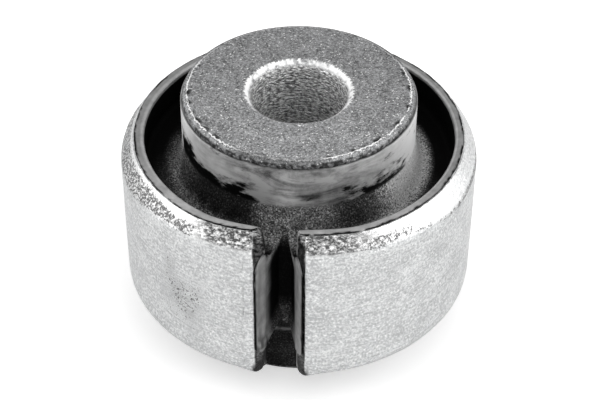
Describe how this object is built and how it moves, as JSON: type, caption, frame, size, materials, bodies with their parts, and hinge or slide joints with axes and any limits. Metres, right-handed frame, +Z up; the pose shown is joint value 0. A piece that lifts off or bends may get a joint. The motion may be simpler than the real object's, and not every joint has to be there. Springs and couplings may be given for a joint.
{
  "type": "rubber metal bush",
  "caption": "Bonded suspension bush: thick tubular steel core with a plain bolt bore, moulded rubber body, and a slotted steel outer sleeve with a lead-in chamfer.",
  "frame": {"origin": "middle of the bore's axis, half way along the core", "axes": "+Z up along the bore, towards the end of the sleeve that has the lead-in chamfer; the sleeve's slot faces -Y"},
  "size_m": [0.045, 0.0448, 0.0342],
  "materials": {
    "core_steel": "shot-blasted, matt",
    "black_rubber": "moulded, matt",
    "sleeve_steel": "drawn and zinc plated, satin"
  },
  "bodies": {
    "root": {"inner_core": "core_steel", "rubber_body": "black_rubber", "outer_sleeve": "sleeve_steel"}
  },
  "joints": []
}
